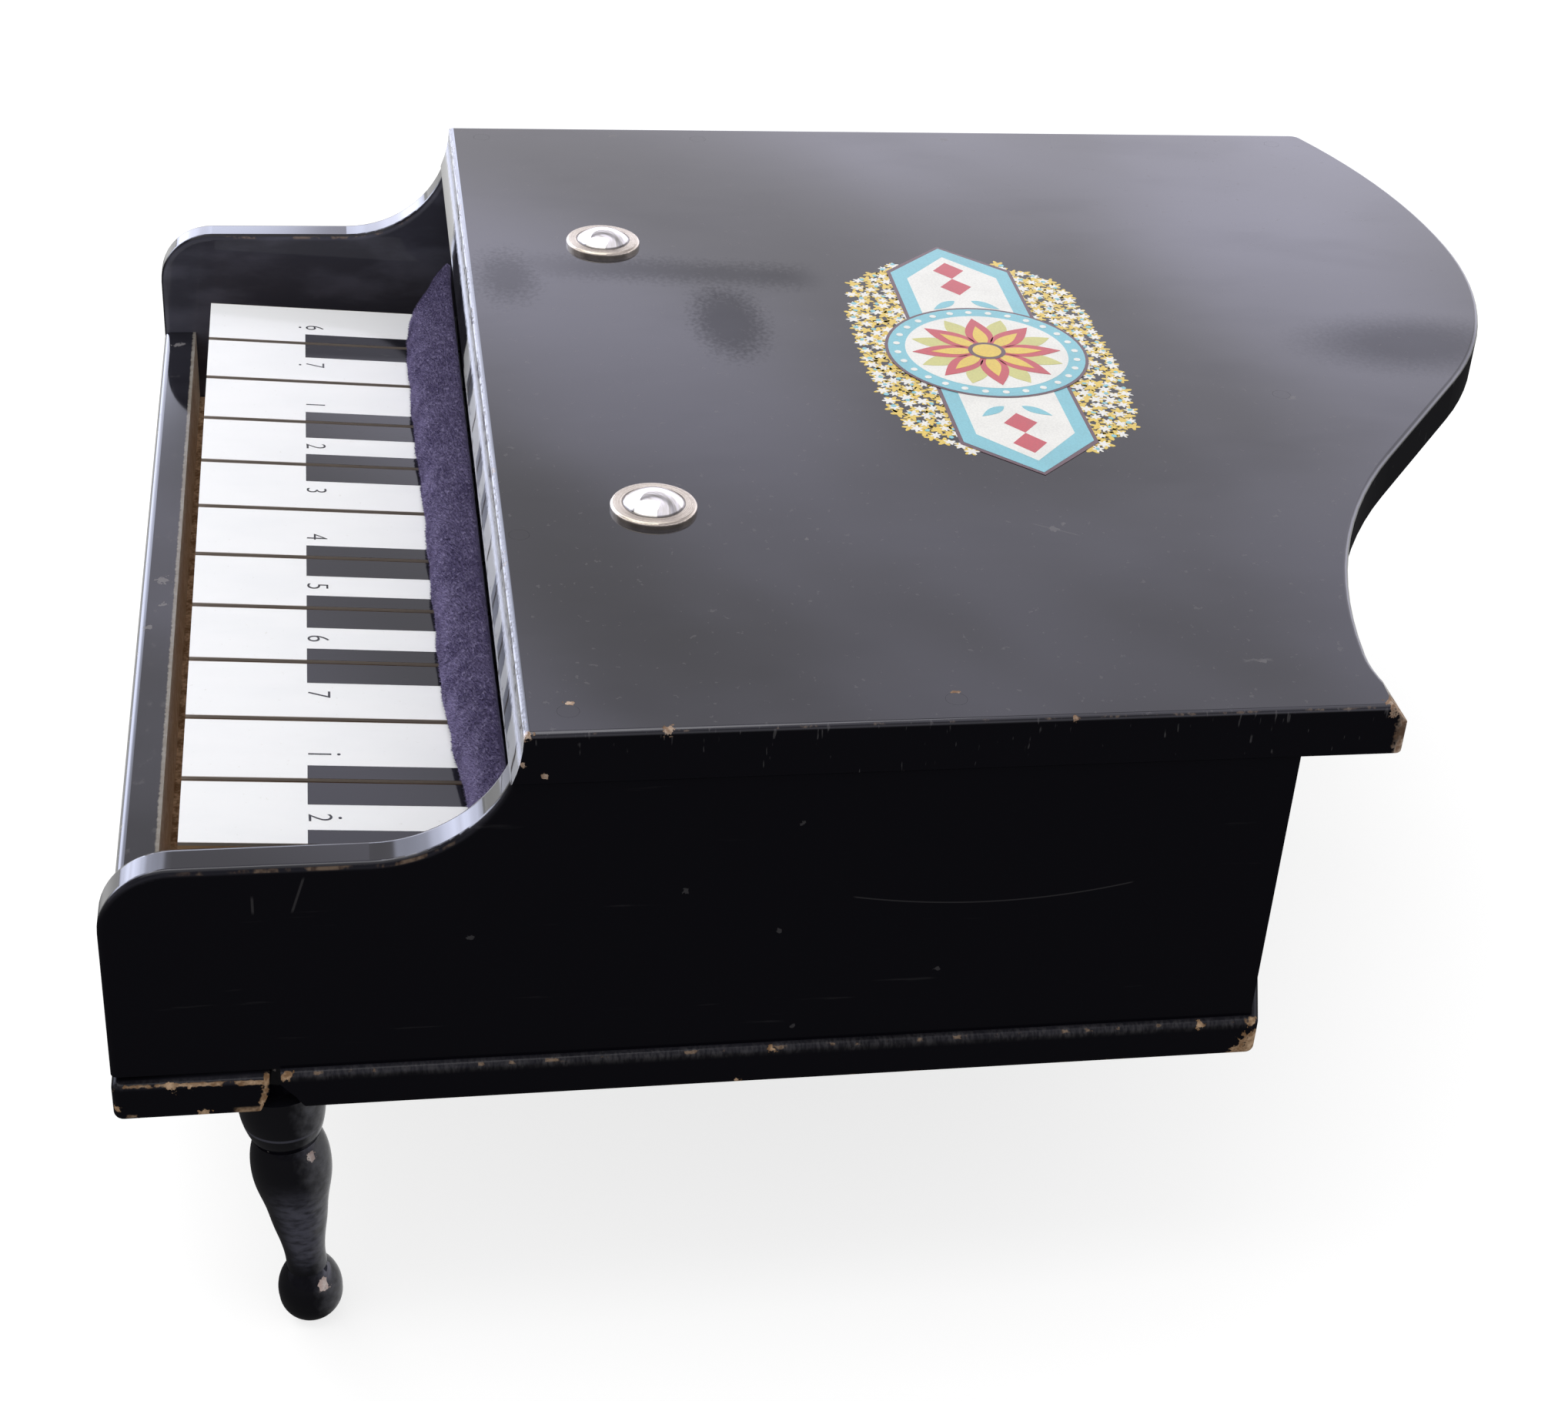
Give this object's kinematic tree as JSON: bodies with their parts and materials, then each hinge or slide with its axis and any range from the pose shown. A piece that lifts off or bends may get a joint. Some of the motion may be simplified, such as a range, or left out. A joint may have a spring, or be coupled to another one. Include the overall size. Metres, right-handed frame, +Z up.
{
  "type": "toy grand piano",
  "caption": "Small black wooden toy grand piano with a curved lid, turned legs, white keys with printed numbers and hammers that strike steel rods.",
  "frame": {"origin": "centre of the bounding box's floor face, under the feet", "axes": "+Z up from the floor, +Y from the keyboard to the tail, +X from the bass side to the treble side"},
  "size_m": [0.2008, 0.225, 0.1021],
  "materials": {
    "black_lacquer": "glossy black lacquer over solid wood, worn through to bare wood along some edges",
    "velvet": "dark violet-blue velvet ribbon with a soft nap",
    "steel": "plain drawn steel",
    "chrome": "polished dome on a satin flange",
    "cast_block": "rough grey casting",
    "bare_wood": "sanded bare wood",
    "felt": "dense dark red felt",
    "key_white": "glossy white cover with printed numbers and black bars"
  },
  "bodies": {
    "case": {"bottom_board": "black_lacquer", "bass_side_panel": "black_lacquer", "treble_side_panel": "black_lacquer", "back_panel": "black_lacquer", "lid": "black_lacquer", "name_board": "black_lacquer", "key_slip": "black_lacquer", "bass_front_leg": "black_lacquer", "treble_front_leg": "black_lacquer", "rear_leg": "black_lacquer", "velvet_strip": "velvet", "lid_nails": "steel", "base_nails": "steel", "tone_rods": "steel", "key_axle": "steel", "hammer_axle": "steel", "lid_bolts": "chrome", "tone_block": "cast_block", "bass_action_bracket": "bare_wood", "treble_action_bracket": "bare_wood", "key_rest_rail": "bare_wood", "key_stop_rail": "bare_wood", "key_rest_felt": "felt", "key_stop_felt": "felt", "key_spacers": "felt", "hammer_spacers": "felt"},
    "key_body_01": {"key_lever_01": "bare_wood", "key_top_01": "key_white"},
    "hammer_body_01": {"hammer_01": "bare_wood"},
    "key_body_02": {"key_lever_02": "bare_wood", "key_top_02": "key_white"},
    "hammer_body_02": {"hammer_02": "bare_wood"},
    "key_body_03": {"key_lever_03": "bare_wood", "key_top_03": "key_white"},
    "hammer_body_03": {"hammer_03": "bare_wood"},
    "key_body_04": {"key_lever_04": "bare_wood", "key_top_04": "key_white"},
    "hammer_body_04": {"hammer_04": "bare_wood"},
    "key_body_05": {"key_lever_05": "bare_wood", "key_top_05": "key_white"},
    "hammer_body_05": {"hammer_05": "bare_wood"},
    "key_body_06": {"key_lever_06": "bare_wood", "key_top_06": "key_white"},
    "hammer_body_06": {"hammer_06": "bare_wood"},
    "key_body_07": {"key_lever_07": "bare_wood", "key_top_07": "key_white"},
    "hammer_body_07": {"hammer_07": "bare_wood"},
    "key_body_08": {"key_lever_08": "bare_wood", "key_top_08": "key_white"},
    "hammer_body_08": {"hammer_08": "bare_wood"},
    "key_body_09": {"key_lever_09": "bare_wood", "key_top_09": "key_white"},
    "hammer_body_09": {"hammer_09": "bare_wood"},
    "key_body_10": {"key_lever_10": "bare_wood", "key_top_10": "key_white"},
    "hammer_body_10": {"hammer_10": "bare_wood"},
    "key_body_11": {"key_lever_11": "bare_wood", "key_top_11": "key_white"},
    "hammer_body_11": {"hammer_11": "bare_wood"}
  },
  "joints": [
    {"name": "key_press_01", "type": "hinge", "parent": "case", "child": "key_body_01", "pos_m": [0, -0.0489, 0.06505], "axis": [1, 0, 0], "range_deg": [0, 5], "stiffness_Nm_per_rad": 0.05, "springref_deg": -5},
    {"name": "hammer_swing_01", "type": "hinge", "parent": "case", "child": "hammer_body_01", "pos_m": [0, 0.02151, 0.07264], "axis": [1, 0, 0], "range_deg": [-14.6, 0]},
    {"name": "key_press_02", "type": "hinge", "parent": "case", "child": "key_body_02", "pos_m": [0, -0.0489, 0.06505], "axis": [1, 0, 0], "range_deg": [0, 5], "stiffness_Nm_per_rad": 0.05, "springref_deg": -5},
    {"name": "hammer_swing_02", "type": "hinge", "parent": "case", "child": "hammer_body_02", "pos_m": [0, 0.02151, 0.07264], "axis": [1, 0, 0], "range_deg": [-14.6, 0]},
    {"name": "key_press_03", "type": "hinge", "parent": "case", "child": "key_body_03", "pos_m": [0, -0.0489, 0.06505], "axis": [1, 0, 0], "range_deg": [0, 5], "stiffness_Nm_per_rad": 0.05, "springref_deg": -5},
    {"name": "hammer_swing_03", "type": "hinge", "parent": "case", "child": "hammer_body_03", "pos_m": [0, 0.02151, 0.07264], "axis": [1, 0, 0], "range_deg": [-14.6, 0]},
    {"name": "key_press_04", "type": "hinge", "parent": "case", "child": "key_body_04", "pos_m": [0, -0.0489, 0.06505], "axis": [1, 0, 0], "range_deg": [0, 5], "stiffness_Nm_per_rad": 0.05, "springref_deg": -5},
    {"name": "hammer_swing_04", "type": "hinge", "parent": "case", "child": "hammer_body_04", "pos_m": [0, 0.02151, 0.07264], "axis": [1, 0, 0], "range_deg": [-14.6, 0]},
    {"name": "key_press_05", "type": "hinge", "parent": "case", "child": "key_body_05", "pos_m": [0, -0.0489, 0.06505], "axis": [1, 0, 0], "range_deg": [0, 5], "stiffness_Nm_per_rad": 0.05, "springref_deg": -5},
    {"name": "hammer_swing_05", "type": "hinge", "parent": "case", "child": "hammer_body_05", "pos_m": [0, 0.02151, 0.07264], "axis": [1, 0, 0], "range_deg": [-14.6, 0]},
    {"name": "key_press_06", "type": "hinge", "parent": "case", "child": "key_body_06", "pos_m": [0, -0.0489, 0.06505], "axis": [1, 0, 0], "range_deg": [0, 5], "stiffness_Nm_per_rad": 0.05, "springref_deg": -5},
    {"name": "hammer_swing_06", "type": "hinge", "parent": "case", "child": "hammer_body_06", "pos_m": [0, 0.02151, 0.07264], "axis": [1, 0, 0], "range_deg": [-14.6, 0]},
    {"name": "key_press_07", "type": "hinge", "parent": "case", "child": "key_body_07", "pos_m": [0, -0.0489, 0.06505], "axis": [1, 0, 0], "range_deg": [0, 5], "stiffness_Nm_per_rad": 0.05, "springref_deg": -5},
    {"name": "hammer_swing_07", "type": "hinge", "parent": "case", "child": "hammer_body_07", "pos_m": [0, 0.02151, 0.07264], "axis": [1, 0, 0], "range_deg": [-14.6, 0]},
    {"name": "key_press_08", "type": "hinge", "parent": "case", "child": "key_body_08", "pos_m": [0, -0.0489, 0.06505], "axis": [1, 0, 0], "range_deg": [0, 5], "stiffness_Nm_per_rad": 0.05, "springref_deg": -5},
    {"name": "hammer_swing_08", "type": "hinge", "parent": "case", "child": "hammer_body_08", "pos_m": [0, 0.02151, 0.07264], "axis": [1, 0, 0], "range_deg": [-14.6, 0]},
    {"name": "key_press_09", "type": "hinge", "parent": "case", "child": "key_body_09", "pos_m": [0, -0.0489, 0.06505], "axis": [1, 0, 0], "range_deg": [0, 5], "stiffness_Nm_per_rad": 0.05, "springref_deg": -5},
    {"name": "hammer_swing_09", "type": "hinge", "parent": "case", "child": "hammer_body_09", "pos_m": [0, 0.02151, 0.07264], "axis": [1, 0, 0], "range_deg": [-14.6, 0]},
    {"name": "key_press_10", "type": "hinge", "parent": "case", "child": "key_body_10", "pos_m": [0, -0.0489, 0.06505], "axis": [1, 0, 0], "range_deg": [0, 5], "stiffness_Nm_per_rad": 0.05, "springref_deg": -5},
    {"name": "hammer_swing_10", "type": "hinge", "parent": "case", "child": "hammer_body_10", "pos_m": [0, 0.02151, 0.07264], "axis": [1, 0, 0], "range_deg": [-14.6, 0]},
    {"name": "key_press_11", "type": "hinge", "parent": "case", "child": "key_body_11", "pos_m": [0, -0.0489, 0.06505], "axis": [1, 0, 0], "range_deg": [0, 5], "stiffness_Nm_per_rad": 0.05, "springref_deg": -5},
    {"name": "hammer_swing_11", "type": "hinge", "parent": "case", "child": "hammer_body_11", "pos_m": [0, 0.02151, 0.07264], "axis": [1, 0, 0], "range_deg": [-14.6, 0]}
  ],
  "couplings": [
    {"joint": "hammer_swing_01", "follows": "key_press_01", "ratio": -2.9},
    {"joint": "hammer_swing_02", "follows": "key_press_02", "ratio": -2.9},
    {"joint": "hammer_swing_03", "follows": "key_press_03", "ratio": -2.9},
    {"joint": "hammer_swing_04", "follows": "key_press_04", "ratio": -2.9},
    {"joint": "hammer_swing_05", "follows": "key_press_05", "ratio": -2.9},
    {"joint": "hammer_swing_06", "follows": "key_press_06", "ratio": -2.9},
    {"joint": "hammer_swing_07", "follows": "key_press_07", "ratio": -2.9},
    {"joint": "hammer_swing_08", "follows": "key_press_08", "ratio": -2.9},
    {"joint": "hammer_swing_09", "follows": "key_press_09", "ratio": -2.9},
    {"joint": "hammer_swing_10", "follows": "key_press_10", "ratio": -2.9},
    {"joint": "hammer_swing_11", "follows": "key_press_11", "ratio": -2.9}
  ]
}
